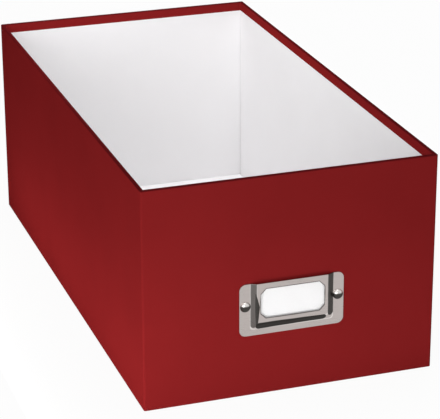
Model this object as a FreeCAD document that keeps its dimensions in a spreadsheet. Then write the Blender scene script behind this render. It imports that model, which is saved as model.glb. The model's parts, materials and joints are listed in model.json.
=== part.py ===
import FreeCAD, Part
import os
import Sketcher
from FreeCAD import Vector

# Photo storage box: a grey board tray, covered in red paper and lined in white,
# with a stamped label holder held on the front wall by two split-leg brads.
# X runs along the front wall from left to right, Y away from it and Z up.
# The origin is the middle of the box's underside. All sizes are in millimetres.

SIZES = (
    # The whole box, outside
    ("box_width", 160, "along the front wall"),
    ("box_depth", 305, "front to back"),
    ("box_height", 121, "underside to rim"),
    ("corner_round", 1.2, "radius of the upright corners"),
    ("rim_round", 0.6, "radius of the red paper's outer fold over the rim"),
    ("rim_round_inside", 0.4, "radius of its inner fold"),
    # The grey board
    ("board", 1.6, "thickness"),
    ("board_joint", 0.15, "hairline between two walls at a corner"),
    ("score", 0.8, "half-cut score, which opens where a wall folds up"),
    # The papers
    ("covering", 0.2, "thickness of the red covering paper"),
    ("turn_in", 16, "red paper turned down inside the walls"),
    ("turn_under", 15, "red paper turned under the base"),
    ("lap", 12, "red paper doubled where it closes on the back wall"),
    ("base_margin", 3, "edge of the box to the edge of the base sheet"),
    ("stay", 0.15, "thickness of the corner stay paper"),
    ("stay_reach", 18, "stay paper along each wall from the corner"),
    ("stay_short", 3, "top of the board to the top of the stay"),
    ("lining", 0.2, "thickness of the white lining paper"),
    ("rim_band", 5.5, "red band between the rim and the wall liner"),
    ("lining_foot", 10, "wall liner turned out over the floor"),
    ("lining_joint", 0.3, "gap where the wall liner's ends meet"),
    ("floor_play", 0.3, "wall liner to the edge of the floor liner"),
    # The label holder
    ("plate_width", 57.2, "plate, left to right"),
    ("plate_height", 29, "plate, bottom to top"),
    ("plate_round", 3.5, "radius of the plate's corners"),
    ("plate", 0.5, "thickness of the sheet metal"),
    ("plate_middle", 48.8, "underside of the box to the middle of the plate"),
    ("pocket_width", 45, "raised pocket at the foot of its slopes"),
    ("pocket_margin", 3.6, "bottom of the plate to the foot of the lower slope"),
    ("pocket_raise", 1.5, "how far the pocket is raised from the plate"),
    ("pocket_round", 1.6, "radius of the pocket's lower corners"),
    ("slope_run", 2.8, "width of the slopes round the pocket"),
    ("window_width", 35, "window, left to right"),
    ("window_height", 16.2, "window, bottom to top"),
    ("window_bar", 3.2, "bar above the window"),
    ("window_cut", 3, "cut across each corner of the window"),
    # The brads
    ("brad_spacing", 50.8, "between the middles of the brads"),
    ("brad_rise", 2.1, "middle of the plate up to the brads"),
    ("brad_head", 5.6, "diameter of the head"),
    ("brad_dome", 2, "height of the head"),
    ("leg", 0.45, "thickness of a leg"),
    ("leg_width", 2.4, "width of a leg"),
    ("leg_slit", 0.1, "between the two legs"),
    ("leg_bend", 0.3, "inner radius where a leg bends out"),
    ("leg_reach", 9, "middle of the brad to the tip of a bent leg"),
    ("leg_play", 0.05, "wall liner to the bent legs"),
    ("hole_play", 0.2, "round the legs in their holes"),
    # The card in the pocket
    ("card", 0.3, "thickness"),
    ("card_drop", 0.6, "top of the plate down to the top of the card"),
    ("card_side_play", 0.35, "each side of the card to the pocket's slope"),
    ("card_seat_play", 0.1, "bottom of the card to the lower slope"),
)

doc = FreeCAD.newDocument("photo_storage_box")
sheet = doc.addObject("Spreadsheet::Sheet", "sizes")
for row, (name, size, meaning) in enumerate(SIZES, start=1):
    sheet.set(f"A{row}", name)
    sheet.set(f"B{row}", str(size))
    sheet.set(f"C{row}", meaning)
    sheet.setAlias(f"B{row}", name)
doc.recompute()

# Levels above the underside, and how far in from the outside each layer of the wall lies
WRAP_LEVEL = "sizes.covering"
BOARD_LEVEL = "2 * sizes.covering"
LINER_LEVEL = f"({BOARD_LEVEL} + sizes.board)"
FLOOR_LEVEL = f"({LINER_LEVEL} + sizes.lining)"
WRAP_HEIGHT = f"(sizes.box_height - {WRAP_LEVEL})"
BOARD_HEIGHT = f"(sizes.box_height - {BOARD_LEVEL} - sizes.covering)"
STAY_INSET = "sizes.covering"
BOARD_INSET = f"({STAY_INSET} + sizes.stay)"
TURN_IN_INSET = f"({BOARD_INSET} + sizes.board)"
LINER_INSET = f"({TURN_IN_INSET} + sizes.covering)"
INSIDE_INSET = f"({LINER_INSET} + sizes.lining)"
STAY_ROUND = "(sizes.corner_round - sizes.covering)"
BOARD_ROUND = f"({STAY_ROUND} - sizes.stay)"

# The brads and the holes for their legs
BRAD_LEVEL = "(sizes.plate_middle + sizes.brad_rise)"
LEGS_THICKNESS = "(2 * sizes.leg + sizes.leg_slit)"
HOLE = f"(sqrt(sizes.leg_width ^ 2 + {LEGS_THICKNESS} ^ 2) + 2 * sizes.hole_play)"

# The pocket: its back lies in from its front by the bend of the sheet metal
BEND_INSET = "(sizes.plate * tan(atan(sizes.pocket_raise / sizes.slope_run) / 2))"
CARD_FRONT = "((sizes.pocket_raise + sizes.card) / 2)"
SLOPE_TO_CARD = f"({BEND_INSET} + {CARD_FRONT} * sizes.slope_run / sizes.pocket_raise)"
CARD_WIDTH = f"(sizes.pocket_width - 2 * ({SLOPE_TO_CARD} + sizes.card_side_play))"
CARD_BOTTOM = f"(sizes.pocket_margin + {SLOPE_TO_CARD} + sizes.card_seat_play)"
CARD_HEIGHT = f"(sizes.plate_height - sizes.card_drop - {CARD_BOTTOM})"
CARD_ROUND = "(sizes.pocket_round + sizes.card_side_play)"

# How far a cut runs past what it opens, and how near counts as the same place
OVERRUN = "1"
NEAR = 0.001


def value(expression):
    """The number that an expression of the sheet's sizes gives."""
    return float(sheet.evalExpression(expression))


def new_body(name):
    body = doc.addObject("PartDesign::Body", name)
    body.Label = name
    return body


def place(body, x="0", y="0", z="0", axis=None, angle=0):
    """Turns a body about an axis, and ties its place to the sheet."""
    turn = FreeCAD.Rotation(axis or Vector(0, 0, 1), angle)
    body.Placement = FreeCAD.Placement(Vector(value(x), value(y), value(z)), turn)
    body.setExpression("Placement.Base.x", x)
    body.setExpression("Placement.Base.y", y)
    body.setExpression("Placement.Base.z", z)


def new_sketch(body, name, level="0", plane="XY_Plane"):
    """A sketch on one of the body's origin planes, lifted off it by a level."""
    sketch = body.newObject("Sketcher::SketchObject", f"{body.Name}_{name}")
    support = [item for item in body.Origin.OriginFeatures if item.Role == plane]
    sketch.AttachmentSupport = (support[0], "")
    sketch.MapMode = "FlatFace"
    sketch.setExpression("AttachmentOffset.Base.z", level)
    return sketch


def constrain(sketch, kind, places, expression):
    """Adds a size to a sketch and ties it to the sheet."""
    number = sketch.addConstraint(Sketcher.Constraint(kind, *places, value(expression)))
    sketch.renameConstraint(number, f"size_{number}")
    sketch.setExpression(f"Constraints.size_{number}", expression)


def outline(sketch, corners):
    """Draws a closed outline of level and upright edges.

    A corner is (x, y), or (x, y, radius) where the outline is round there.
    """
    count = len(corners)
    points = [Vector(value(corner[0]), value(corner[1]), 0) for corner in corners]
    radii = [value(corner[2]) if len(corner) == 3 else 0 for corner in corners]
    ways = [(points[(i + 1) % count] - points[i]).normalize() for i in range(count)]
    edges = []
    for i, way in enumerate(ways):
        after = (i + 1) % count
        start = points[i] + way * radii[i]
        end = points[after] - way * radii[after]
        edges.append(sketch.addGeometry(Part.LineSegment(start, end), False))
        if abs(way.y) < NEAR:
            sketch.addConstraint(Sketcher.Constraint("Horizontal", edges[i]))
            constrain(sketch, "DistanceY", (-1, 1, edges[i], 1), corners[i][1])
        else:
            sketch.addConstraint(Sketcher.Constraint("Vertical", edges[i]))
            constrain(sketch, "DistanceX", (-1, 1, edges[i], 1), corners[i][0])
    for i, corner in enumerate(corners):
        into = edges[i - 1]
        if len(corner) == 2:
            sketch.addConstraint(Sketcher.Constraint("Coincident", into, 2, edges[i], 1))
            continue
        before, way, radius = ways[i - 1], ways[i], radii[i]
        middle = points[i] - before * radius + way * radius
        start, end = points[i] - before * radius, points[i] + way * radius
        bulge = middle + (points[i] - middle).normalize() * radius
        arc = sketch.addGeometry(Part.Arc(start, bulge, end), False)
        left_turn = before.cross(way).z > 0
        first, last = (1, 2) if left_turn else (2, 1)
        sketch.addConstraint(Sketcher.Constraint("Tangent", into, 2, arc, first))
        sketch.addConstraint(Sketcher.Constraint("Tangent", arc, last, edges[i], 1))
        constrain(sketch, "Radius", (arc,), corner[2])


def rectangle(sketch, left, right, bottom, top, *radius):
    outline(sketch, [(x, y, *radius) for x, y in
                     ((left, bottom), (right, bottom), (right, top), (left, top))])


def box_rectangle(sketch, inset, *radius):
    """A rectangle that lies inside the box's outline by the same amount all round."""
    half_width = f"(sizes.box_width / 2 - {inset})"
    half_depth = f"(sizes.box_depth / 2 - {inset})"
    rectangle(sketch, f"-{half_width}", half_width, f"-{half_depth}", half_depth, *radius)


def circle(sketch, x, y, diameter):
    middle = Vector(value(x), value(y), 0)
    ring = sketch.addGeometry(Part.Circle(middle, Vector(0, 0, 1), value(diameter) / 2), False)
    constrain(sketch, "DistanceX", (-1, 1, ring, 3), x)
    constrain(sketch, "DistanceY", (-1, 1, ring, 3), y)
    constrain(sketch, "Diameter", (ring,), diameter)


def extrude(kind, sketch, length, backwards=False, both_ways=False):
    """A pad or a pocket of the sketch. A pocket runs back from the sketch's face."""
    body = sketch.getParentGeoFeatureGroup()
    feature = body.newObject(f"PartDesign::{kind}", f"{sketch.Name}_{kind.lower()}")
    feature.Profile = sketch
    feature.setExpression("Length", length)
    feature.Reversed = backwards
    if both_ways:
        feature.SideType = "Symmetric"
    doc.recompute()
    return feature


def pad(sketch, length, **ways):
    return extrude("Pad", sketch, length, **ways)


def pocket(sketch, length, **ways):
    return extrude("Pocket", sketch, length, **ways)


def dress_edges(kind, base, name, size, wanted):
    """A fillet or chamfer on each edge of the base feature that is wanted."""
    body = base.getParentGeoFeatureGroup()
    edges = [f"Edge{number}" for number, edge in enumerate(base.Shape.Edges, start=1)
             if wanted(edge)]
    feature = body.newObject(f"PartDesign::{kind}", f"{body.Name}_{name}")
    feature.Base = (base, edges)
    feature.setExpression("Radius" if kind == "Fillet" else "Size", size)
    doc.recompute()
    return feature


def at_level(edge, level):
    return all(abs(vertex.Z - level) < NEAR for vertex in edge.Vertexes)


def inside_box(edge, inset):
    """Whether an edge's middle lies further in from the box's outline than the inset."""
    middle = edge.valueAt((edge.FirstParameter + edge.LastParameter) / 2)
    room_x = value("sizes.box_width / 2") - abs(middle.x)
    room_y = value("sizes.box_depth / 2") - abs(middle.y)
    return min(room_x, room_y) > inset - NEAR


def leg_holes(body, level, inset, thickness):
    """Opens the front wall of a body for the legs of both brads."""
    sketch = new_sketch(body, "leg_holes", f"sizes.box_depth / 2 - {inset}", "XZ_Plane")
    for side in ("-", ""):
        circle(sketch, f"{side}sizes.brad_spacing / 2", f"{BRAD_LEVEL} - {level}", HOLE)
    return pocket(sketch, thickness)


def make_box_board():
    """The grey board blank: a base, and four walls folded up from it."""
    body = new_body("box_board")
    block = new_sketch(body, "block")
    box_rectangle(block, BOARD_INSET, BOARD_ROUND)
    solid = pad(block, BOARD_HEIGHT)
    dress_edges("Chamfer", solid, "opened_scores", "sizes.score",
                lambda edge: at_level(edge, 0))
    inside = new_sketch(body, "inside", BOARD_HEIGHT)
    box_rectangle(inside, TURN_IN_INSET)
    pocket(inside, f"{BOARD_HEIGHT} - sizes.board")
    # Each side wall ends a hairline short of the end walls.
    joints = new_sketch(body, "joints", BOARD_HEIGHT)
    for side in (-1, 1):
        for end in (-1, 1):
            inner = f"{side} * (sizes.box_width / 2 - {TURN_IN_INSET})"
            outer = f"{side} * (sizes.box_width / 2 - {BOARD_INSET} + {OVERRUN})"
            wall = f"{end} * (sizes.box_depth / 2 - {TURN_IN_INSET})"
            short = f"{end} * (sizes.box_depth / 2 - {TURN_IN_INSET} - sizes.board_joint)"
            outline(joints, [(inner, wall), (outer, wall), (outer, short), (inner, short)])
    pocket(joints, f"{BOARD_HEIGHT} - sizes.board")
    leg_holes(body, BOARD_LEVEL, BOARD_INSET, "sizes.board")
    place(body, z=BOARD_LEVEL)
    return body


def make_corner_stay(name, side, end, angle):
    """Stay paper glued round one upright corner of the board."""
    body = new_body(name)
    section = new_sketch(body, "section")
    outline(section, [("0", "0", STAY_ROUND), ("sizes.stay_reach", "0"),
                      ("sizes.stay_reach", "sizes.stay"),
                      ("sizes.stay", "sizes.stay", BOARD_ROUND),
                      ("sizes.stay", "sizes.stay_reach"), ("0", "sizes.stay_reach")])
    pad(section, f"{BOARD_HEIGHT} - sizes.stay_short")
    place(body, f"{side} * (sizes.box_width / 2 - {STAY_INSET})",
          f"{end} * (sizes.box_depth / 2 - {STAY_INSET})", BOARD_LEVEL, angle=angle)
    return body


def make_side_wrap():
    """The red strip round the walls, turned in over the rim and under the base."""
    body = new_body("side_wrap")
    block = new_sketch(body, "block")
    box_rectangle(block, "0", "sizes.corner_round")
    solid = pad(block, WRAP_HEIGHT)
    top = value(WRAP_HEIGHT)
    dress_edges("Fillet", solid, "outer_fold", "sizes.rim_round",
                lambda edge: at_level(edge, top))
    mouth = new_sketch(body, "mouth", WRAP_HEIGHT)
    box_rectangle(mouth, LINER_INSET)
    opened = pocket(mouth, f"{WRAP_HEIGHT} - sizes.covering")
    dress_edges("Fillet", opened, "inner_fold", "sizes.rim_round_inside",
                lambda edge: at_level(edge, top) and inside_box(edge, value(LINER_INSET)))
    below = new_sketch(body, "below_turn_in", "sizes.covering")
    box_rectangle(below, STAY_INSET, STAY_ROUND)
    pocket(below, f"{WRAP_HEIGHT} - sizes.covering - sizes.turn_in", backwards=True)
    # The board's wall stands between the outside of the strip and its turn-in.
    fold = new_sketch(body, "fold_round_board", f"{WRAP_HEIGHT} - sizes.turn_in")
    box_rectangle(fold, STAY_INSET, STAY_ROUND)
    box_rectangle(fold, TURN_IN_INSET)
    pocket(fold, "sizes.turn_in - sizes.covering", backwards=True)
    under = new_sketch(body, "turn_under", "sizes.covering")
    box_rectangle(under, "sizes.turn_under")
    pocket(under, "sizes.covering")
    leg_holes(body, WRAP_LEVEL, "0", "sizes.covering")
    # The strip closes on the back wall, its end glued over its start.
    closing = new_sketch(body, "closing_lap", "-sizes.box_depth / 2", "XZ_Plane")
    edge = "(sizes.box_width / 2 - sizes.corner_round)"
    rectangle(closing, f"{edge} - sizes.lap", edge, "0", f"{WRAP_HEIGHT} - sizes.rim_round")
    pad(closing, "sizes.covering", backwards=True)
    place(body, z=WRAP_LEVEL)
    return body


def make_base_sheet():
    """The red sheet that covers the edges turned under the base."""
    body = new_body("base_sheet")
    sketch = new_sketch(body, "outline")
    box_rectangle(sketch, "sizes.base_margin", "sizes.corner_round")
    pad(sketch, "sizes.covering")
    place(body)
    return body


def make_wall_liner():
    """The white strip inside the walls, over the red turn-in, with a foot on the floor."""
    body = new_body("wall_liner")
    height = f"(sizes.box_height - sizes.rim_band - {LINER_LEVEL})"
    block = new_sketch(body, "block")
    box_rectangle(block, LINER_INSET)
    pad(block, height)
    inside = new_sketch(body, "inside", height)
    box_rectangle(inside, INSIDE_INSET)
    pocket(inside, f"{height} - sizes.lining")
    foot = new_sketch(body, "foot", "sizes.lining")
    box_rectangle(foot, f"({INSIDE_INSET} + sizes.lining_foot)")
    pocket(foot, "sizes.lining")
    leg_holes(body, LINER_LEVEL, LINER_INSET, "sizes.lining")
    # The two ends of the strip meet in the corner at the back on the right.
    joint = new_sketch(body, "joint", height)
    wall = f"(sizes.box_depth / 2 - {INSIDE_INSET})"
    rectangle(joint, f"sizes.box_width / 2 - {INSIDE_INSET} - sizes.lining_foot",
              f"sizes.box_width / 2 - {LINER_INSET}", f"{wall} - sizes.lining_joint", wall)
    pocket(joint, height)
    place(body, z=LINER_LEVEL)
    return body


def make_floor_liner():
    """The white sheet on the floor, over the foot of the wall liner."""
    body = new_body("floor_liner")
    sketch = new_sketch(body, "outline")
    box_rectangle(sketch, f"({INSIDE_INSET} + sizes.floor_play)")
    pad(sketch, "sizes.lining")
    place(body, z=FLOOR_LEVEL)
    return body


def pocket_outline(sketch, inset, radius):
    """The pocket's outline, square where it is open at the plate's top edge."""
    half_width = f"(sizes.pocket_width / 2 - {inset})"
    bottom = f"(sizes.pocket_margin + {inset} - sizes.plate_height / 2)"
    top = "sizes.plate_height / 2"
    outline(sketch, [(f"-{half_width}", bottom, radius), (half_width, bottom, radius),
                     (half_width, top), (f"-{half_width}", top)])


def loft(kind, body, name, first, second):
    feature = body.newObject(f"PartDesign::{kind}Loft", f"{body.Name}_{name}")
    feature.Profile = first
    feature.Sections = [second]
    feature.Ruled = True
    doc.recompute()
    return feature


def make_label_holder():
    """The stamped plate: a flat flange round a pocket raised on three slopes."""
    body = new_body("label_holder")
    half_width, half_height = "sizes.plate_width / 2", "sizes.plate_height / 2"
    flange = new_sketch(body, "flange")
    rectangle(flange, f"-{half_width}", half_width, f"-{half_height}", half_height,
              "sizes.plate_round")
    pad(flange, "sizes.plate")
    foot = new_sketch(body, "slope_foot", "sizes.plate")
    pocket_outline(foot, "0", "sizes.pocket_round")
    crest = new_sketch(body, "slope_crest", "sizes.plate + sizes.pocket_raise")
    pocket_outline(crest, "sizes.slope_run", "sizes.pocket_round")
    loft("Additive", body, "raised_pocket", foot, crest)
    back_foot = new_sketch(body, "back_of_foot")
    pocket_outline(back_foot, BEND_INSET, "sizes.pocket_round")
    back_crest = new_sketch(body, "back_of_crest", "sizes.pocket_raise")
    pocket_outline(back_crest, f"({BEND_INSET} + sizes.slope_run)", "sizes.pocket_round")
    loft("Subtractive", body, "card_space", back_foot, back_crest)
    window = new_sketch(body, "window", "sizes.plate + sizes.pocket_raise")
    top = "(sizes.plate_height / 2 - sizes.window_bar)"
    rectangle(window, "-sizes.window_width / 2", "sizes.window_width / 2",
              f"{top} - sizes.window_height", top)
    cut = pocket(window, "sizes.plate + sizes.pocket_raise")
    half_window = value("sizes.window_width / 2")
    dress_edges("Chamfer", cut, "window_corners", "sizes.window_cut",
                lambda edge: all(abs(abs(vertex.X) - half_window) < NEAR
                                 for vertex in edge.Vertexes)
                and abs(edge.tangentAt(edge.FirstParameter).z) > 1 - NEAR)
    holes = new_sketch(body, "brad_holes", "sizes.plate")
    for side in ("-", ""):
        circle(holes, f"{side}sizes.brad_spacing / 2", "sizes.brad_rise", HOLE)
    pocket(holes, "sizes.plate")
    place(body, y="-sizes.box_depth / 2", z="sizes.plate_middle", axis=Vector(1, 0, 0), angle=90)
    return body


def make_brad(name, side):
    """A domed head on two flat legs, which part behind the wall and lie against it."""
    body = new_body(name)
    profile = new_sketch(body, "dome", plane="XZ_Plane")
    radius, height = value("sizes.brad_head / 2"), value("sizes.brad_dome")
    ball = (radius ** 2 + height ** 2) / (2 * height)
    rim, crown, middle = Vector(radius, 0, 0), Vector(0, height, 0), Vector(0, 0, 0)
    between = Vector(0, height - ball, 0)
    bulge = between + (rim + crown - between * 2).normalize() * ball
    floor = profile.addGeometry(Part.LineSegment(middle, rim), False)
    dome = profile.addGeometry(Part.Arc(rim, bulge, crown), False)
    axis = profile.addGeometry(Part.LineSegment(crown, middle), False)
    for first, end, second, start in ((floor, 2, dome, 1), (dome, 2, axis, 1), (axis, 2, floor, 1)):
        profile.addConstraint(Sketcher.Constraint("Coincident", first, end, second, start))
    profile.addConstraint(Sketcher.Constraint("Coincident", floor, 1, -1, 1))
    profile.addConstraint(Sketcher.Constraint("Horizontal", floor))
    profile.addConstraint(Sketcher.Constraint("Vertical", axis))
    profile.addConstraint(Sketcher.Constraint("PointOnObject", dome, 3, -2))
    constrain(profile, "DistanceX", (floor, 1, floor, 2), "sizes.brad_head / 2")
    constrain(profile, "DistanceY", (axis, 2, axis, 1), "sizes.brad_dome")
    head = body.newObject("PartDesign::Revolution", f"{name}_head")
    head.Profile = profile
    head.ReferenceAxis = (profile, ["V_Axis"])
    doc.recompute()
    # One leg seen from its edge, then its twin on the other side of the slit
    leg = new_sketch(body, "leg", plane="XZ_Plane")
    wall = f"-(sizes.plate + {INSIDE_INSET} + sizes.leg_play)"
    near, far = "sizes.leg_slit / 2", "(sizes.leg_slit / 2 + sizes.leg)"
    outline(leg, [(near, "0"), (near, f"{wall} - sizes.leg", "sizes.leg_bend + sizes.leg"),
                  ("sizes.leg_reach", f"{wall} - sizes.leg"), ("sizes.leg_reach", wall),
                  (far, wall, "sizes.leg_bend"), (far, "0")])
    one_leg = pad(leg, "sizes.leg_width", both_ways=True)
    twin = body.newObject("PartDesign::Mirrored", f"{name}_twin_leg")
    twin.Originals = [one_leg]
    planes = [item for item in body.Origin.OriginFeatures if item.Role == "YZ_Plane"]
    twin.MirrorPlane = (planes[0], [""])
    body.Tip = twin
    place(body, f"{side} * sizes.brad_spacing / 2", "-(sizes.box_depth / 2 + sizes.plate)",
          BRAD_LEVEL, Vector(1, 0, 0), 90)
    return body


def make_label_card():
    """The blank card, which stands on the pocket's lower slope behind the window."""
    body = new_body("label_card")
    sketch = new_sketch(body, "outline")
    rectangle(sketch, f"-{CARD_WIDTH} / 2", f"{CARD_WIDTH} / 2", "0", CARD_HEIGHT, CARD_ROUND)
    pad(sketch, "sizes.card")
    place(body, y=f"-(sizes.box_depth / 2 + {CARD_FRONT} - sizes.card)",
          z=f"sizes.plate_middle - sizes.plate_height / 2 + {CARD_BOTTOM}",
          axis=Vector(1, 0, 0), angle=90)
    return body


bodies = [
    make_box_board(),
    make_corner_stay("corner_stay_front_left", -1, -1, 0),
    make_corner_stay("corner_stay_front_right", 1, -1, 90),
    make_corner_stay("corner_stay_back_right", 1, 1, 180),
    make_corner_stay("corner_stay_back_left", -1, 1, 270),
    make_side_wrap(),
    make_base_sheet(),
    make_wall_liner(),
    make_floor_liner(),
    make_label_holder(),
    make_brad("brad_left", -1),
    make_brad("brad_right", 1),
    make_label_card(),
]
doc.recompute()

# Nothing is written unless every object is sound and every cut has cut something.
for item in doc.Objects:
    if {"Invalid", "Error"} & set(item.State):
        raise RuntimeError(f"{item.Name} failed: {item.State}")
    if item.TypeId == "PartDesign::Pocket":
        if item.Shape.Volume >= item.BaseFeature.Shape.Volume:
            raise RuntimeError(f"{item.Name} cuts nothing")
for body in bodies:
    if body.Shape.isNull() or not body.Shape.isValid() or len(body.Shape.Solids) != 1:
        raise RuntimeError(f"{body.Label} is not one sound solid")

os.makedirs("parts", exist_ok=True)
for body in bodies:
    body.Shape.exportStep(f"parts/{body.Label}.step")
    print(f"{body.Label}: {body.Shape.Volume:.1f} mm3")
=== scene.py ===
import json
import math

import bmesh
import bpy
from mathutils import Matrix, Vector


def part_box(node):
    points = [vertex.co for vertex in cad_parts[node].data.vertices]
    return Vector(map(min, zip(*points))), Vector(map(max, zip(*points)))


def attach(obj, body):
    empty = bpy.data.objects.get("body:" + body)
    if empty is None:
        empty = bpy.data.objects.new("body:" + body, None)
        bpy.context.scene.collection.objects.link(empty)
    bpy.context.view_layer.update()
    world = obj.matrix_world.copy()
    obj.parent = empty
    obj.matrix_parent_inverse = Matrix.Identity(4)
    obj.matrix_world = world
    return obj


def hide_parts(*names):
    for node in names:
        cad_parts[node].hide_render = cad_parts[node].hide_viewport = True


# Photo storage box: a grey board tray in red paper, lined in white, with a stamped
# label holder on two split-leg brads. All lengths are in metres: MM turns
# millimetres into them. X runs along the front wall, Y away from it and Z up.

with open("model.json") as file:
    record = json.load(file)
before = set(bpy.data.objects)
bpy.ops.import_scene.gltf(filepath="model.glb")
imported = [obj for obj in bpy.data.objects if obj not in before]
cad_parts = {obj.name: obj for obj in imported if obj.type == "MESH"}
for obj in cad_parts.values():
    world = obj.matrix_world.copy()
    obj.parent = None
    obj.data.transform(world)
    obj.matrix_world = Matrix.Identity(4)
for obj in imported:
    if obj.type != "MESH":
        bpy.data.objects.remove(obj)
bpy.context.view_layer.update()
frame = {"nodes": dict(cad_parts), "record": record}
nodes = frame["nodes"]
MM = 0.001
RIGHT_ANGLE = math.pi / 2
# Points nearer than this are one point
TOUCHING = 0.001 * MM

# The box and its papers. WALL is from the outside to the turn-in's face.
BOX_LOW, BOX_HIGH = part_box("side_wrap")
WIDTH = 160 * MM
DEPTH = 305 * MM
HEIGHT = 121 * MM
CORNER = 1.2 * MM
PAPER = 0.2 * MM
WALL = 2.15 * MM
TIGHT_FOLD = 0.3 * MM
RIM_FOLD = 0.6 * MM
TURN_IN = 16 * MM
TURN_UNDER = 15 * MM
LAP = 12 * MM

# The label holder: a sheet metal plate with a pocket raised on three slopes, and a
# window whose corners are cut off
PLATE_LOW, PLATE_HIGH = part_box("label_holder")
SHEET = 0.5 * MM
PLATE_ROUND = 3.5 * MM
POCKET = 45 * MM
POCKET_MARGIN = 3.6 * MM
POCKET_ROUND = 1.6 * MM
PLATE_FRONT = PLATE_HIGH.y - SHEET
RAISE = PLATE_FRONT - PLATE_LOW.y
SLOPE_RUN = 2.8 * MM
BEND = 1.8 * MM
WINDOW = 35 * MM
WINDOW_HEIGHT = 16.2 * MM
WINDOW_BAR = 3.2 * MM
WINDOW_CUT = 3 * MM
WINDOW_RIM = 0.8 * MM
BRAD_SPACING = 50.8 * MM
BRAD_LEVEL = 50.9 * MM

# How many steps the plate's rows take: round a top corner, down a side, round a
# lower corner and along the bottom
TOP_STEPS, SIDE_STEPS, CORNER_STEPS, BOTTOM_STEPS = 6, 10, 8, 18


# Node trees

class Wire:
    """The output of a node. A sum written with it adds the Math nodes that do the sum."""

    def __init__(self, tree, socket):
        self.tree = tree
        self.socket = socket

    def out(self, name):
        """Another output of the same node."""
        return Wire(self.tree, self.socket.node.outputs[name])

    def __add__(self, other):
        return self.tree.math("ADD", self, other)

    def __sub__(self, other):
        return self.tree.math("SUBTRACT", self, other)

    def __rsub__(self, other):
        return self.tree.math("SUBTRACT", other, self)

    def __mul__(self, other):
        return self.tree.math("MULTIPLY", self, other)

    def __truediv__(self, other):
        return self.tree.math("DIVIDE", self, other)

    def __rtruediv__(self, other):
        return self.tree.math("DIVIDE", other, self)

    def __mod__(self, other):
        return self.tree.math("MODULO", self, other)

    def __rmod__(self, other):
        return self.tree.math("MODULO", other, self)

    def __abs__(self):
        return self.tree.math("ABSOLUTE", self)

    __radd__ = __add__
    __rmul__ = __mul__


class Tree:
    """A node tree, and the one method that adds its nodes."""

    def __init__(self, tree):
        self.tree = tree

    def add(self, kind, settings=None, sockets=None, out=0):
        """A node of this kind: its settings come first, then each socket's value or link."""
        node = self.tree.nodes.new(kind)
        for name, setting in (settings or {}).items():
            setattr(node, name, setting)
        for name, value in (sockets or {}).items():
            for each in value if isinstance(value, list) else [value]:
                if isinstance(each, Wire):
                    self.tree.links.new(each.socket, node.inputs[name])
                else:
                    node.inputs[name].default_value = each
        return Wire(self, node.outputs[out]) if node.outputs else None

    def math(self, operation, *values):
        """What one Math operation makes of its values."""
        return self.add("ShaderNodeMath", {"operation": operation}, dict(enumerate(values)))

    def vector(self, x, y, z):
        """A vector from its X, Y and Z."""
        return self.add("ShaderNodeCombineXYZ", sockets={0: x, 1: y, 2: z})

    def parts(self, vector):
        """The X, Y and Z of a vector."""
        split = self.add("ShaderNodeSeparateXYZ", sockets={0: vector})
        return split, split.out("Y"), split.out("Z")

    def ease(self, value, low, high, start=0.0, end=1.0):
        """Goes smoothly from start to end as the value goes from low to high."""
        return self.add("ShaderNodeMapRange", {"interpolation_type": "SMOOTHSTEP"},
                        {0: value, 1: low, 2: high, 3: start, 4: end})


class Finish(Tree):
    """A material with one Principled shader, which reads Object coordinates."""

    def __init__(self, name):
        self.material = bpy.data.materials.new(name)
        self.material.use_nodes = True
        super().__init__(self.material.node_tree)
        self.tree.nodes.clear()
        self.spot = self.add("ShaderNodeTexCoord", out="Object")

    def stretched(self, x, y, z):
        """The coordinates, each axis times its own number."""
        return self.add("ShaderNodeVectorMath", {"operation": "MULTIPLY"},
                        {0: self.spot, 1: (x, y, z)})

    def noise(self, scale, detail=2.0, roughness=0.5, where=None):
        """Cloudy noise from 0 to 1, with this many lumps to the metre."""
        return self.add("ShaderNodeTexNoise", sockets={
            "Vector": where or self.spot, "Scale": scale, "Detail": detail,
            "Roughness": roughness})

    def blend(self, share, first, second):
        """A colour that goes from the first to the second."""
        return self.add("ShaderNodeMix", {"data_type": "RGBA"}, {0: share, 6: first, 7: second},
                        out=2)

    def stripe(self, x, z, start, end, start_radius, end_radius):
        """1 on a round-ended stripe drawn between two points of X and Z."""
        run = Vector(end) - Vector(start)
        share = self.add("ShaderNodeClamp", sockets={
            0: ((x - start[0]) * run.x + (z - start[1]) * run.y) / run.length_squared})
        away = self.vector(x - start[0] - share * run.x, z - start[1] - share * run.y, 0)
        off = self.add("ShaderNodeVectorMath", {"operation": "LENGTH"}, {0: away}, out="Value")
        radius = share * (end_radius - start_radius) + start_radius
        soft_from = radius * 0.8
        return self.ease(off, soft_from, radius, 1.0, 0.0)

    def bump(self, height, depth, strength, under=None):
        """A normal for relief this deep, in metres, over what lies under it."""
        sockets = {"Height": height, "Distance": depth, "Strength": strength}
        if under:
            sockets["Normal"] = under
        return self.add("ShaderNodeBump", sockets=sockets)

    def shade(self, sockets):
        """Feeds the Principled shader and ends the tree."""
        surface = self.add("ShaderNodeBsdfPrincipled", sockets=sockets)
        self.add("ShaderNodeOutputMaterial", sockets={"Surface": surface})
        return self.material


def colour(red, green, blue):
    """A colour as it is seen, each part 0 to 255, turned into light."""
    def light(part):
        part /= 255
        return part / 12.92 if part <= 0.04045 else ((part + 0.055) / 1.055) ** 2.4
    return light(red), light(green), light(blue), 1.0


# Finishes

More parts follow.
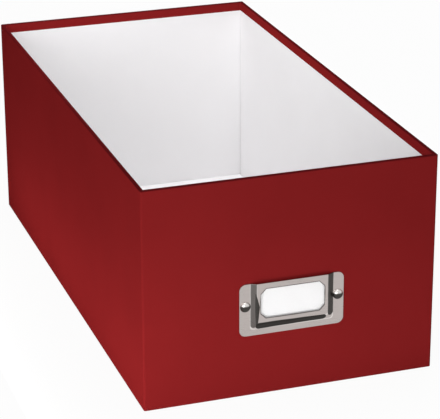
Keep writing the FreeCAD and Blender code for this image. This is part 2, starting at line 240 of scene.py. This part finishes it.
def red_paper_finish():
    """Dark red covering paper with a fine grain. Its rim is darkened all round by painted shade,
    and its corners and the end of its lap are rubbed pale."""
    red = Finish("red_paper")
    x, y, z = red.parts(red.spot)
    grain = red.noise(2400, detail=3, roughness=0.6)
    cloud = red.noise(30)
    patchy_noise = red.noise(420, detail=4, roughness=0.65)
    rim_reach, corner_reach, lap_reach = 0.8 * MM, 0.5 * MM, 0.3 * MM
    # Painted shade: the top of the rim darkened all round, a little patchy
    rim_shade = red.ease(z, HEIGHT - rim_reach, HEIGHT - 0.1 * MM) * (patchy_noise * 0.3 + 0.65)
    sides = red.ease(abs(x), WIDTH / 2 - corner_reach, WIDTH / 2)
    ends = red.ease(abs(y), DEPTH / 2 - corner_reach, DEPTH / 2)
    lap_end = WIDTH / 2 - CORNER - LAP
    lap_edge = red.ease(abs(x - lap_end), lap_reach, 0) * red.ease(
        y, DEPTH / 2, DEPTH / 2 + PAPER / 2)
    wear = red.math("MAXIMUM", sides * ends, lap_edge) * red.ease(patchy_noise, 0.35, 0.7)
    tone = red.blend(cloud, colour(122, 28, 29), colour(130, 31, 32))
    # The rim's painted shade, a deep dark red
    tone = red.blend(rim_shade, tone, colour(70, 13, 17))
    tone = red.blend(wear * 0.28, tone, colour(186, 96, 96))
    tooth = red.bump(grain, 0.02 * MM, strength=0.5)
    return red.shade({
        "Base Color": tone,
        "Roughness": grain * 0.1 + cloud * 0.06 + wear * 0.14 + 0.34,
        "Specular IOR Level": 0.0,
        "Normal": red.bump(cloud, 0.05 * MM, strength=0.3, under=tooth),
    })


def white_paper_finish():
    """Smooth white lining paper."""
    white = Finish("white_paper")
    grain = white.noise(1800, detail=3, roughness=0.6)
    cloud = white.noise(24)
    return white.shade({
        "Base Color": white.blend(cloud, colour(235, 234, 235), colour(240, 239, 240)),
        "Roughness": grain * 0.1 + 0.55,
        "Specular IOR Level": 0.25,
        "Normal": white.bump(grain, 0.02 * MM, strength=0.5),
    })


def grey_board_finish():
    """Chipboard pulp: grey-brown with darker and lighter flecks."""
    board = Finish("grey_board")
    flecks = board.noise(900, detail=5, roughness=0.7)
    cloud = board.noise(40)
    tone = board.blend(cloud, colour(188, 181, 170), colour(198, 191, 180))
    tone = board.blend(board.ease(flecks, 0.56, 0.68), tone, colour(142, 134, 122))
    return board.shade({
        "Base Color": tone,
        "Roughness": flecks * 0.1 + 0.82,
        "Specular IOR Level": 0.2,
        "Normal": board.bump(flecks, 0.04 * MM, strength=0.6),
    })


def stay_paper_finish():
    """Brown gummed paper with its fibres along the roll."""
    stay = Finish("stay_paper")
    fibres = stay.noise(1, detail=3, where=stay.stretched(1400, 1400, 260))
    tone = stay.blend(fibres, colour(196, 170, 134), colour(216, 192, 156))
    return stay.shade({
        "Base Color": tone,
        "Roughness": fibres * 0.12 + 0.66,
        "Specular IOR Level": 0.25,
        "Normal": stay.bump(fibres, 0.02 * MM, strength=0.5),
    })


def nickel_finish(name, dull, bright, painted_dark):
    """Nickel plate, brushed along X, with a painted highlight on its bends. The last argument is
    a function that gives 1 where dark reflections and shade are painted on."""
    nickel = Finish(name)
    brushed = nickel.noise(1, detail=3, roughness=0.6,
                           where=nickel.stretched(110, 2600, 2600))
    cloud = nickel.noise(45)
    tone = nickel.blend(brushed * 0.6 + cloud * 0.4, dull, bright)
    # A painted highlight along the middle of each bend
    bend_highlight = nickel.add("ShaderNodeAttribute", {"attribute_name": "bend_highlight"}, out="Fac")
    tone = nickel.blend(bend_highlight * 0.7, tone, colour(236, 232, 228))
    # The colour of the painted dark reflections and shade
    dark = nickel.blend(brushed, colour(34, 32, 30), colour(62, 60, 57))
    return nickel.shade({
        "Base Color": nickel.blend(painted_dark(nickel), tone, dark),
        "Metallic": 1.0,
        "Roughness": brushed * 0.14 + cloud * 0.06 + 0.2,
        "Normal": nickel.bump(brushed, 0.006 * MM, strength=0.4),
    })


def plate_painted_dark(nickel):
    """Painted dark reflections along the plate's slopes, most on the lower one, and a thin
    painted shadow round its window.
    """
    waver = 0.4 * MM
    uneven = nickel.noise(110) * waver - waver / 2
    x, _, z = nickel.parts(nickel.spot)
    x, z = x + uneven, z + uneven
    pressed = nickel.add("ShaderNodeAttribute", {"attribute_name": "slope"}, out="Fac")
    edged = nickel.add("ShaderNodeAttribute", {"attribute_name": "window_edge"}, out="Fac")
    # The lines down the middle of the slopes
    right, foot = (POCKET - SLOPE_RUN) / 2, PLATE_LOW.z + POCKET_MARGIN + SLOPE_RUN / 2
    left, top, low = -right, PLATE_HIGH.z + 2 * MM, foot + 0.4 * MM
    # The painted dark reflections: a stripe down each slope, and a wedge on the bar beside the
    # left one
    leaf = (left + 1.8 * MM, foot + 11 * MM)
    # Each stripe: its start, its end, its radius at each of them, and how dark it is
    stripes = (
        ((left, foot + MM), (left, top), 1.7 * MM, 1.7 * MM,
         nickel.ease(pressed, 0.0, 0.25) * 0.75),
        ((right, foot + 2.4 * MM), (right, top), 1.95 * MM, 1.95 * MM, 0.94),
        ((left + 3 * MM, low), (right - 4 * MM, low), 2.2 * MM, 1.75 * MM, 1.0),
        (leaf, (left + MM, foot + 18.5 * MM), 1.4 * MM, 0.2 * MM, 0.95),
        (leaf, (left + 1.6 * MM, foot + MM), 1.4 * MM, 0.6 * MM, 0.95),
    )
    # A thin painted shadow round the window's edge
    dark = nickel.ease(edged, 0.1, 0.8) * 0.75
    for start, end, start_radius, end_radius, share in stripes:
        stripe = nickel.stripe(x, z, start, end, start_radius, end_radius) * share
        dark = nickel.math("MAXIMUM", dark, stripe)
    return dark


def head_painted_reflection(nickel):
    """A painted dark reflection below on a brad's head, where its dome turns under."""
    # The painted dark reflection: the lower part of the dome, on its proud face
    _, y, z = nickel.parts(nickel.spot)
    proud = nickel.ease(y, PLATE_FRONT, PLATE_FRONT - 0.3 * MM)
    return nickel.ease(z, BRAD_LEVEL + 1.4 * MM, BRAD_LEVEL + 0.5 * MM) * proud * 0.96


def white_card_finish():
    """Smooth white card, blank."""
    card = Finish("white_card")
    grain = card.noise(1500, detail=3, roughness=0.6)
    tone = card.blend(grain, colour(241, 241, 241), colour(245, 245, 245))
    return card.shade({
        "Base Color": tone,
        "Roughness": grain * 0.1 + 0.5,
        "Specular IOR Level": 0.25,
        "Normal": card.bump(grain, 0.015 * MM, strength=0.4),
    })


FINISHES = {
    "red_paper": red_paper_finish(),
    "white_paper": white_paper_finish(),
    "grey_board": grey_board_finish(),
    "stay_paper": stay_paper_finish(),
    "nickel_plate": nickel_finish("nickel_plate", colour(196, 192, 188),
                                  colour(226, 223, 220), head_painted_reflection),
    "stamped_nickel": nickel_finish("stamped_nickel", colour(174, 165, 161),
                                    colour(198, 190, 187), plate_painted_dark),
    "white_card": white_card_finish(),
}


def finish_node(name, slot):
    """Gives a CAD node its finish, and leaves its shape alone."""
    materials = nodes[name].data.materials
    materials.clear()
    materials.append(FINISHES[slot])


for part in frame["record"]["subparts"]:
    finish_node(part["node"], part["material_slot"])


# Meshes

def add_piece(name, bm, slot):
    """A new object from drawn faces, with its finish."""
    mesh = bpy.data.meshes.new(name)
    bm.to_mesh(mesh)
    bm.free()
    mesh.materials.append(FINISHES[slot])
    piece = bpy.data.objects.new(name, mesh)
    bpy.context.scene.collection.objects.link(piece)
    return piece


def settle(piece):
    """Turns what the modifiers make into the piece's own mesh."""
    depsgraph = bpy.context.evaluated_depsgraph_get()
    made = bpy.data.meshes.new_from_object(piece.evaluated_get(depsgraph))
    piece.modifiers.clear()
    piece.data = made


def face_outwards(piece):
    """Turns the faces of a closed piece outwards."""
    bm = bmesh.new()
    bm.from_mesh(piece.data)
    bmesh.ops.recalc_face_normals(bm, faces=bm.faces)
    bm.to_mesh(piece.data)
    bm.free()


def smooth_by_angle(piece, degrees=35):
    """Smooth shading, with a hard line only where two faces meet at more than this angle."""
    piece.data.shade_smooth()
    piece.data.set_sharp_from_angle(angle=math.radians(degrees))


# Geometry Nodes

def node_group(name, inputs):
    """An empty Geometry Nodes tree with named inputs, and the wire of each."""
    group = bpy.data.node_groups.new(name, "GeometryNodeTree")
    group.interface.new_socket("Geometry", in_out="OUTPUT", socket_type="NodeSocketGeometry")
    for label, kind in inputs.items():
        group.interface.new_socket(label, in_out="INPUT", socket_type=f"NodeSocket{kind}")
    tree = Tree(group)
    entry = tree.add("NodeGroupInput")
    return tree, {label: entry.out(label) for label in inputs}


def grow(name, tree, sizes, start):
    """Runs a tree on a starting mesh, and keeps what it makes as a plain mesh object."""
    piece = bpy.data.objects.new(name, start)
    bpy.context.scene.collection.objects.link(piece)
    modifier = piece.modifiers.new("shape", "NODES")
    modifier.node_group = tree.tree
    for socket in tree.tree.interface.items_tree:
        if socket.in_out == "INPUT" and socket.name in sizes:
            modifier[socket.identifier] = sizes[socket.name]
    settle(piece)
    piece.data.name = name
    if piece.data.materials[0] is None:
        piece.data.materials.pop(index=0)
    return piece


# The red strip

def sheet_round_box():
    """A tree that folds a sheet round a box. Its start is the sheet's section: each point is
    (inset from the outside, radius of the box's corner there, height)."""
    tree, given = node_group("sheet_round_box", {
        "Section": "Geometry", "Width": "Float", "Depth": "Float", "Corner Steps": "Int",
        "Paper": "Material"})
    steps = given["Corner Steps"]
    points = tree.add("GeometryNodeAttributeDomainSize", {"component": "MESH"},
                      {"Geometry": given["Section"]}, out="Point Count")
    # A column of the grid is the whole section, and its last row lies on its first. The
    # columns go round the four corners, and the last lies on the first.
    grid = tree.add("GeometryNodeMeshGrid", sockets={
        "Vertices X": 4 * (steps + 1) + 1, "Vertices Y": points + 1})
    index = tree.add("GeometryNodeInputIndex")
    column = tree.math("FLOOR", (index + 0.5) / (points + 1))
    row = tree.math("FLOOR", index - column * (points + 1) + 0.5)
    section = tree.add("GeometryNodeSampleIndex", {"data_type": "FLOAT_VECTOR"}, {
        "Geometry": given["Section"], "Value": tree.add("GeometryNodeInputPosition"),
        "Index": row % points})
    inset, radius, height = tree.parts(section)
    corner = tree.math("FLOOR", (column + 0.5) / (steps + 1))
    turn = (corner + (column - corner * (steps + 1)) / steps) * RIGHT_ANGLE
    middle = (corner + 0.5) * RIGHT_ANGLE
    x_side = tree.math("SIGN", tree.math("COSINE", middle))
    y_side = tree.math("SIGN", tree.math("SINE", middle))
    place = tree.vector(
        x_side * (given["Width"] / 2 - inset - radius) + tree.math("COSINE", turn) * radius,
        y_side * (given["Depth"] / 2 - inset - radius) + tree.math("SINE", turn) * radius,
        height)
    shaped = tree.add("GeometryNodeSetPosition", sockets={"Geometry": grid, "Position": place})
    closed = tree.add("GeometryNodeMergeByDistance", sockets={
        "Geometry": shaped, "Distance": TOUCHING})
    real = tree.add("GeometryNodeRealizeInstances", sockets={"Geometry": closed})
    covered = tree.add("GeometryNodeSetMaterial", sockets={
        "Geometry": real, "Material": given["Paper"]})
    tree.add("NodeGroupOutput", sockets={"Geometry": covered})
    return tree


def softened(corners, steps=5):
    """A closed outline of corners (across, up, radius), each rounded to its radius."""
    points = []
    for index, (across, up, radius) in enumerate(corners):
        here = Vector((across, up))
        before = (Vector(corners[index - 1][:2]) - here).normalized()
        after = (Vector(corners[(index + 1) % len(corners)][:2]) - here).normalized()
        if not radius:
            points.append(here)
            continue
        half = before.angle(after) / 2
        middle = here + (before + after).normalized() * radius / math.sin(half)
        start = here + before * radius / math.tan(half) - middle
        end = here + after * radius / math.tan(half) - middle
        sweep = start.angle_signed(end)
        for step in range(steps + 1):
            turn = Matrix.Rotation(-sweep * step / steps, 2)
            points.append(middle + turn @ start)
    return points


def make_side_wrap():
    """The red strip: turned under the base, up the walls, over the rim and down inside."""
    under, top = BOX_LOW.z, BOX_HIGH.z
    section = softened([
        (TURN_UNDER, under, 0), (0, under, TIGHT_FOLD), (0, top, RIM_FOLD),
        (WALL, top, RIM_FOLD - PAPER), (WALL, top - TURN_IN, 0),
        (WALL - PAPER, top - TURN_IN, 0),
        (WALL - PAPER, top - PAPER, RIM_FOLD - 2 * PAPER),
        (PAPER, top - PAPER, RIM_FOLD - PAPER),
        (PAPER, under + PAPER, TIGHT_FOLD - PAPER), (TURN_UNDER, under + PAPER, 0)])
    rows = [(across, max(CORNER - across, TIGHT_FOLD), up) for across, up in section]
    start = bpy.data.meshes.new("side_wrap_section")
    start.from_pydata(rows, [], [])
    wrap = grow("red_covering", sheet_round_box(), {
        "Width": WIDTH, "Depth": DEPTH, "Corner Steps": 6,
        "Paper": FINISHES["red_paper"]}, start)
    lay_lap(wrap)
    face_outwards(wrap)
    smooth_by_angle(wrap)
    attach(wrap, "box")
    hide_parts("side_wrap")


def lay_lap(wrap):
    """Adds the strip's end, pasted over its start on the back wall by the right corner."""
    root = WIDTH / 2 - CORNER
    end, wall, face = root - LAP, DEPTH / 2, BOX_HIGH.y
    sunk = wall - PAPER / 4
    outline = softened([(root, sunk, 0), (root, wall, 0), (root - MM, face, MM),
                        (end, face, PAPER / 2), (end, sunk, 0)])
    bm = bmesh.new()
    bm.from_mesh(wrap.data)
    lower, upper = ([bm.verts.new((point.x, point.y, level)) for point in outline]
                    for level in (BOX_LOW.z, BOX_HIGH.z - RIM_FOLD))
    bm.faces.new(lower)
    bm.faces.new(upper)
    for index in range(len(outline)):
        bm.faces.new((lower[index - 1], lower[index], upper[index], upper[index - 1]))
    bm.to_mesh(wrap.data)
    bm.free()


# The label holder

def along(*stops):
    """Points on straight runs: each stop is (point, how many steps lead to it)."""
    (start, _), *others = stops
    points = [Vector(start)]
    for end, steps in others:
        first = points[-1]
        points += [first.lerp(Vector(end), step / steps) for step in range(1, steps + 1)]
    return points


def arc(middle, radius, start, end, steps):
    """Points on an arc between two angles in degrees, without its first point."""
    turns = [math.radians(start + (end - start) * step / steps) for step in range(1, steps + 1)]
    return [Vector(middle) + Vector((math.cos(turn), math.sin(turn))) * radius for turn in turns]


def mirrored(half):
    """A row whose left half is given, from the top edge down to the middle of the bottom."""
    return half + [Vector((-point.x, point.y)) for point in reversed(half[:-1])]


def plate_row():
    """The plate's own outline, from the top edge at the left round to it at the right."""
    left, top, bottom = PLATE_LOW.x, PLATE_HIGH.z, PLATE_LOW.z
    inner = left + PLATE_ROUND
    row = [Vector((inner, top))]
    row += arc((inner, top - PLATE_ROUND), PLATE_ROUND, 90, 180, TOP_STEPS)
    row += along((row[-1], 0), ((left, bottom + PLATE_ROUND), SIDE_STEPS))[1:]
    row += arc((inner, bottom + PLATE_ROUND), PLATE_ROUND, 180, 270, CORNER_STEPS)
    row += along((row[-1], 0), ((0, bottom), BOTTOM_STEPS // 2))[1:]
    return mirrored(row)


def pocket_row(inset):
    """The pocket's U-shaped outline this far in from the foot of its slopes."""
    left, top = inset - POCKET / 2, PLATE_HIGH.z
    bottom = PLATE_LOW.z + POCKET_MARGIN + inset
    row = along(((left, top), 0), ((left, top - PLATE_ROUND), TOP_STEPS),
                ((left, bottom + POCKET_ROUND), SIDE_STEPS))
    row += arc((left + POCKET_ROUND, bottom + POCKET_ROUND), POCKET_ROUND, 180, 270,
               CORNER_STEPS)
    row += along((row[-1], 0), ((0, bottom), BOTTOM_STEPS // 2))[1:]
    return mirrored(row)


def window_loop():
    """The window, from the middle of its upper left cut down and round."""
    right, top = WINDOW / 2, PLATE_HIGH.z - WINDOW_BAR
    bottom, cut = top - WINDOW_HEIGHT, WINDOW_CUT
    return along(((cut / 2 - right, top - cut / 2), 0), ((-right, top - cut), TOP_STEPS),
                 ((-right, bottom + cut), SIDE_STEPS), ((cut - right, bottom), CORNER_STEPS),
                 ((right - cut, bottom), BOTTOM_STEPS), ((right, bottom + cut), CORNER_STEPS),
                 ((right, top - cut), SIDE_STEPS), ((right - cut / 2, top - cut / 2), TOP_STEPS),
                 ((right - cut, top), TOP_STEPS), ((cut - right, top), BOTTOM_STEPS),
                 ((cut / 2 - right, top - cut / 2), TOP_STEPS))[:-1]


def slope_profile(steps=4):
    """Across a slope from the plate up to the pocket: (inset, rise, how much it slopes)."""
    angle = math.atan(RAISE / SLOPE_RUN)
    reach = BEND * math.tan(angle / 2)
    foot = []
    for step in range(steps + 1):
        turn = angle * step / steps
        foot.append((BEND * math.sin(turn) - reach, BEND * (1 - math.cos(turn)), step / steps))
    crest = [(SLOPE_RUN - inset, RAISE - rise, slope) for inset, rise, slope in reversed(foot)]
    return foot + crest


def make_label_holder():
    """The stamped plate, drawn in rows from its edge over the slopes to the window."""
    bm = bmesh.new()
    slope_layer = bm.verts.layers.float.new("slope")
    bend_highlight_layer = bm.verts.layers.float.new("bend_highlight")
    edge_layer = bm.verts.layers.float.new("window_edge")

    def lay(row, rise, slope=0.0, window_edge=0.0):
        verts = [bm.verts.new((point.x, PLATE_FRONT - rise, point.y)) for point in row]
        for vert in verts:
            vert[slope_layer], vert[edge_layer] = slope, window_edge
            # How much painted highlight each point of a bend takes: most at the middle of the
            # bend
            vert[bend_highlight_layer] = math.sin(math.pi * slope)
        return verts

    def join(first, second, closed=False):
        count = len(first)
        for index in range(count if closed else count - 1):
            after = (index + 1) % count
            bm.faces.new((first[index], first[after], second[after], second[index]))

    # The flat plate, from its edge in to the foot of the slopes, and the slopes
    profile = slope_profile()
    edge, foot = plate_row(), pocket_row(profile[0][0])
    rows = [lay([a.lerp(b, share) for a, b in zip(edge, foot)], 0) for share in (0, 0.25, 0.75)]
    rows += [lay(pocket_row(inset), rise, slope) for inset, rise, slope in profile]
    for first, second in zip(rows, rows[1:]):
        join(first, second)
    # The raised face: a ring from the crest and the plate's top edge to the window
    crest = pocket_row(profile[-1][0])
    cut = WINDOW / 2 - WINDOW_CUT
    top_edge = along((crest[-1], 0), ((cut, PLATE_HIGH.z), TOP_STEPS),
                     ((-cut, PLATE_HIGH.z), BOTTOM_STEPS), (crest[0], TOP_STEPS))[1:-1]
    ring = rows[-1] + lay(top_edge, RAISE)
    outer, inner = crest + top_edge, window_loop()
    window_rim = [b.lerp(a, WINDOW_RIM / (a - b).length) for a, b in zip(outer, inner)]
    for row, edge in (([a.lerp(b, 0.5) for a, b in zip(outer, window_rim)], 0.0),
                      (window_rim, 0.0), (inner, 1.0)):
        nearer = lay(row, RAISE, window_edge=edge)
        join(ring, nearer, closed=True)
        ring = nearer
    bmesh.ops.recalc_face_normals(bm, faces=bm.faces)
    if sum(face.normal.y for face in bm.faces) > 0:
        bmesh.ops.reverse_faces(bm, faces=bm.faces)
    plate = add_piece("stamped_label_holder", bm, "stamped_nickel")
    solid = plate.modifiers.new("sheet", "SOLIDIFY")
    solid.thickness, solid.offset, solid.use_even_offset = SHEET, -1, True
    edges = plate.modifiers.new("deburred_edges", "BEVEL")
    edges.width, edges.segments, edges.limit_method = 0.1 * MM, 2, "ANGLE"
    edges.angle_limit = math.radians(50)
    settle(plate)
    smooth_by_angle(plate, 40)
    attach(plate, "box")
    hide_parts("label_holder")


# The brads

def brad_head(tree, given):
    """A grid of turns and rings wrapped into a cap, its upright edge and its flat underside."""
    turns, rings = given["Turns"], given["Rings"]
    # After the cap's middle and its rings come the foot of the edge and the middle below
    rows = rings + 3
    grid = tree.add("GeometryNodeMeshGrid", sockets={
        "Vertices X": turns + 1, "Vertices Y": rows})
    index = tree.add("GeometryNodeInputIndex")
    column = tree.math("FLOOR", (index + 0.5) / rows)
    ring = tree.math("FLOOR", index - column * rows + 0.5)
    turn = column / turns * (2 * math.pi)
    radius, rise = given["Head"] / 2, given["Dome"] - given["Edge"]
    ball = (radius * radius + rise * rise) / (rise * 2)
    cap = tree.math("ARCSINE", radius / ball) * tree.math("MINIMUM", ring / rings, 1)
    below = tree.math("MAXIMUM", ring - rings, 0)
    reach = tree.math("SINE", cap) * ball * (1 - tree.math("MAXIMUM", below - 1, 0))
    proud = tree.math("COSINE", cap) * ball - ball + rise + given["Edge"] * (
        1 - tree.math("MINIMUM", below, 1))
    place = tree.vector(tree.math("COSINE", turn) * reach, -1 * proud,
                        tree.math("SINE", turn) * reach)
    shaped = tree.add("GeometryNodeSetPosition", sockets={"Geometry": grid, "Position": place})
    return tree.add("GeometryNodeMergeByDistance", sockets={
        "Geometry": shaped, "Distance": TOUCHING})


def brad_leg(tree, given):
    """A flat strip along a bent path: in through the wall, then out along its inner face."""
    thick = given["Leg Thickness"]
    start, depth = given["Slit"] / 2 + thick / 2, given["Wall"] + thick / 2
    line = tree.add("GeometryNodeCurvePrimitiveLine", {"mode": "POINTS"}, {
        "Start": (0, 0, 0), "End": (1, 0, 0)})
    line = tree.add("GeometryNodeResampleCurve", sockets={"Curve": line, "Count": 4})
    # Its four points: in the head, past the wall, where the tip begins, and its end
    index = tree.add("GeometryNodeInputIndex")
    inside = tree.math("GREATER_THAN", index, 0.5)
    bent = tree.math("GREATER_THAN", index, 1.5)
    tip = tree.math("GREATER_THAN", index, 2.5)
    path = tree.add("GeometryNodeSetPosition", sockets={
        "Geometry": line, "Position": tree.vector(
            start + bent * (given["Leg Reach"] - given["Tip"] - start) + tip * given["Tip"],
            inside * (depth + given["Edge"]) - given["Edge"], 0)})
    path = tree.add("GeometryNodeFilletCurve", {"mode": "POLY"}, {
        "Curve": path, "Count": 5, "Radius": given["Bend"] + thick / 2})
    last = tree.add("GeometryNodeCurveEndpointSelection", sockets={
        "Start Size": 0, "End Size": 1})
    half_width = 0.5
    path = tree.add("GeometryNodeSetCurveRadius", sockets={
        "Curve": path, "Selection": last, "Radius": half_width})
    path = tree.add("GeometryNodeSetCurveNormal", {"mode": "Z_UP"}, {"Curve": path})
    strip = tree.add("GeometryNodeCurvePrimitiveQuadrilateral", {"mode": "RECTANGLE"}, {
        "Width": thick, "Height": given["Leg Width"]})
    return tree.add("GeometryNodeCurveToMesh", sockets={
        "Curve": path, "Profile Curve": strip, "Fill Caps": True})


def split_brad():
    """A tree that makes a brad at a place: a domed head facing -Y, and two parted legs."""
    tree, given = node_group("split_brad", {
        "Place": "Vector", "Head": "Float", "Dome": "Float", "Edge": "Float",
        "Leg Thickness": "Float", "Leg Width": "Float", "Leg Reach": "Float", "Slit": "Float",
        "Tip": "Float", "Bend": "Float", "Wall": "Float", "Turns": "Int", "Rings": "Int",
        "Metal": "Material"})
    leg = brad_leg(tree, given)
    twin = tree.add("GeometryNodeTransform", sockets={
        "Geometry": leg, "Rotation": (0, math.pi, 0)})
    whole = tree.add("GeometryNodeJoinGeometry", sockets={
        "Geometry": [brad_head(tree, given), leg, twin]})
    placed = tree.add("GeometryNodeTransform", sockets={
        "Geometry": whole, "Translation": given["Place"]})
    real = tree.add("GeometryNodeRealizeInstances", sockets={"Geometry": placed})
    plated = tree.add("GeometryNodeSetMaterial", sockets={
        "Geometry": real, "Material": given["Metal"]})
    tree.add("NodeGroupOutput", sockets={"Geometry": plated})
    return tree


def make_brads():
    """Two brads, which hold the plate to the front wall."""
    tree = split_brad()
    for side, node in ((-1, "brad_left"), (1, "brad_right")):
        brad = grow(f"split_{node}", tree, {
            "Place": (side * BRAD_SPACING / 2, PLATE_FRONT, BRAD_LEVEL),
            "Head": 5.6 * MM, "Dome": 2 * MM, "Edge": 0.25 * MM, "Leg Thickness": 0.45 * MM,
            "Leg Width": 2.4 * MM, "Leg Reach": 9 * MM, "Slit": 0.1 * MM, "Tip": 0.9 * MM,
            "Bend": 0.3 * MM, "Wall": 2.9 * MM, "Turns": 40, "Rings": 10,
            "Metal": FINISHES["nickel_plate"]}, bpy.data.meshes.new("brad_start"))
        face_outwards(brad)
        smooth_by_angle(brad, 40)
        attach(brad, "box")
        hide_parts(node)


make_side_wrap()
make_label_holder()
make_brads()


# The studio: a pale floor, soft light and the camera

# Each lamp: its place, the point it faces, its width and height, its watts, and whether
# the metal mirrors it
LAMPS = {
    "softbox_over_opening": ((-0.03, 0.08, 0.32), (-0.02, 0.08, 0), (0.07, 0.12), 0.42, False),
    "softbox_above": ((0, -0.1, 1), (0, -0.1, 0), (0.5, 0.7), 2, True),
    "softbox_front_left": ((-0.9, -1.3, 0.6), (0, 0, 0.05), (0.8, 0.8), 11.2, True),
    "softbox_front": ((0.1, -1.2, 0.5), (0, 0, 0.06), (0.8, 0.4), 0.6, False),
    "softbox_back_right": ((1, 1.1, 0.7), (0, 0, 0.05), (0.8, 0.8), 9, False),
    "strip_left": ((-0.14, -0.02, 0.006), (-0.08, -0.02, 0.02), (0.32, 0.01), 0.062, False),
    "strip_corner": ((-0.2, -0.26, 0.01), (-0.08, -0.1525, 0.02), (0.12, 0.02), 0.116, False),
    "strip_front": ((-0.01, -0.24, 0.006), (-0.01, -0.1525, 0.006), (0.24, 0.01), 0.037, False),
}


def make_floor():
    """A pale floor that stays white to the camera and keeps the box's soft shadow."""
    floor = Finish("studio_floor")
    rays = floor.add("ShaderNodeLightPath")
    seen = floor.math("MAXIMUM", rays.out("Is Camera Ray"), rays.out("Is Transmission Ray"))
    seen = floor.math("MAXIMUM", seen, rays.out("Is Glossy Ray"))
    pale, whiteness, reach = 0.86, 0.95, 6
    matt = floor.add("ShaderNodeBsdfDiffuse", sockets={"Color": (pale, pale, pale, 1)})
    white = floor.add("ShaderNodeEmission", sockets={"Color": (1, 1, 1, 1), "Strength": 1})
    both = floor.add("ShaderNodeMixShader", sockets={
        0: seen * whiteness, 1: matt, 2: white})
    floor.add("ShaderNodeOutputMaterial", sockets={"Surface": both})
    mesh = bpy.data.meshes.new("floor")
    mesh.from_pydata([(-reach, -reach, 0), (reach, -reach, 0), (reach, reach, 0),
                      (-reach, reach, 0)], [], [(0, 1, 2, 3)])
    mesh.materials.append(floor.material)
    plane = bpy.data.objects.new("floor", mesh)
    bpy.context.scene.collection.objects.link(plane)


def make_sky(strength):
    """White all round to the camera and in reflections, and a dimmer light on the box."""
    world = bpy.data.worlds.new("studio")
    world.use_nodes = True
    bpy.context.scene.world = world
    sky = Tree(world.node_tree)
    sky.tree.nodes.clear()
    rays = sky.add("ShaderNodeLightPath")
    seen = sky.math("MAXIMUM", rays.out("Is Camera Ray"), rays.out("Is Glossy Ray"))
    seen = sky.math("MAXIMUM", seen, rays.out("Is Transmission Ray"))
    light = sky.add("ShaderNodeBackground", sockets={
        "Color": (1, 1, 1, 1), "Strength": strength + seen * (1 - strength)})
    sky.add("ShaderNodeOutputWorld", sockets={"Surface": light})


def make_lamp(name, place, aim, size, watts, mirrored_in_metal):
    """A soft lamp of this width and height, turned to face a point."""
    lamp = bpy.data.lights.new(name, "AREA")
    lamp.shape = "RECTANGLE"
    lamp.size, lamp.size_y = size
    lamp.energy = watts
    holder = bpy.data.objects.new(name, lamp)
    holder.location = place
    holder.rotation_euler = (Vector(aim) - Vector(place)).to_track_quat("-Z", "Y").to_euler()
    holder.visible_camera = False
    holder.visible_glossy = mirrored_in_metal
    bpy.context.scene.collection.objects.link(holder)


def make_camera():
    """The photograph's viewpoint, from where the box's edges meet the frame."""
    place = Vector((-335.04, -1031.81, 477.03)) * MM
    yaw, pitch, roll = 0.3267, 0.3689, -0.003
    lens = bpy.data.cameras.new("camera")
    lens.sensor_width = 36
    lens.lens = 163.95
    lens.shift_x, lens.shift_y = -0.0066, -0.0516
    lens.clip_start, lens.clip_end = 0.05, 50
    camera = bpy.data.objects.new("camera", lens)
    forward = Vector((math.sin(yaw) * math.cos(pitch), math.cos(yaw) * math.cos(pitch),
                      -math.sin(pitch)))
    right = Vector((math.cos(yaw), -math.sin(yaw), 0))
    up = right.cross(forward)
    right, up = (right * math.cos(roll) + up * math.sin(roll),
                 up * math.cos(roll) - right * math.sin(roll))
    camera.matrix_world = Matrix((
        (right.x, up.x, -forward.x, place.x), (right.y, up.y, -forward.y, place.y),
        (right.z, up.z, -forward.z, place.z), (0, 0, 0, 1)))
    bpy.context.scene.collection.objects.link(camera)
    bpy.context.scene.camera = camera


make_floor()
make_sky(strength=0.2)
for name, lamp in LAMPS.items():
    make_lamp(name, *lamp)
make_camera()
bpy.context.scene.view_settings.view_transform = "Standard"
